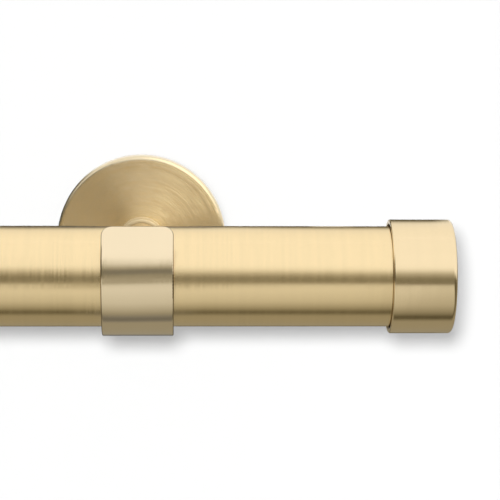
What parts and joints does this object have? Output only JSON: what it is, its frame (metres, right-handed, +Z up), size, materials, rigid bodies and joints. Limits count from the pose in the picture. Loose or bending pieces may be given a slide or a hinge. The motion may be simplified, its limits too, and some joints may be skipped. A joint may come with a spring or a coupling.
{
  "type": "curtain rod",
  "caption": "Wall-mounted curtain rod: a round tube with turned end caps lies in open C-shaped cradles, which stand off the wall on stems with round covers.",
  "frame": {"origin": "centre of the right bracket's hole circle, on the wall plane, level with the rod's axis", "axes": "+X along the rod to its right end, +Y into the wall, +Z up"},
  "size_m": [0.712, 0.0985, 0.0528],
  "materials": {
    "brushed_brass": "fine brushing round the tube",
    "satin_brass": "satin, turned",
    "strap_brass": "smooth satin, a little paler",
    "turned_brass": "brushed in circles on a lathe",
    "plain_steel": "zinc plated",
    "moulded_plastic": "matte"
  },
  "bodies": {
    "root": {"rod_tube": "brushed_brass", "right_end_cap": "satin_brass", "right_cap_plug": "moulded_plastic", "right_cap_screw": "plain_steel", "right_wall_disc": "plain_steel", "right_wall_cover": "turned_brass", "right_cover_grub_screw": "plain_steel", "right_stem": "satin_brass", "right_stem_screw": "plain_steel", "right_stem_washer": "plain_steel", "right_cradle": "strap_brass", "right_cradle_screw": "plain_steel", "right_rod_grub_screw": "plain_steel", "left_end_cap": "satin_brass", "left_cap_plug": "moulded_plastic", "left_cap_screw": "plain_steel", "left_wall_disc": "plain_steel", "left_wall_cover": "turned_brass", "left_cover_grub_screw": "plain_steel", "left_stem": "satin_brass", "left_stem_screw": "plain_steel", "left_stem_washer": "plain_steel", "left_cradle": "strap_brass", "left_cradle_screw": "plain_steel", "left_rod_grub_screw": "plain_steel"}
  },
  "joints": []
}
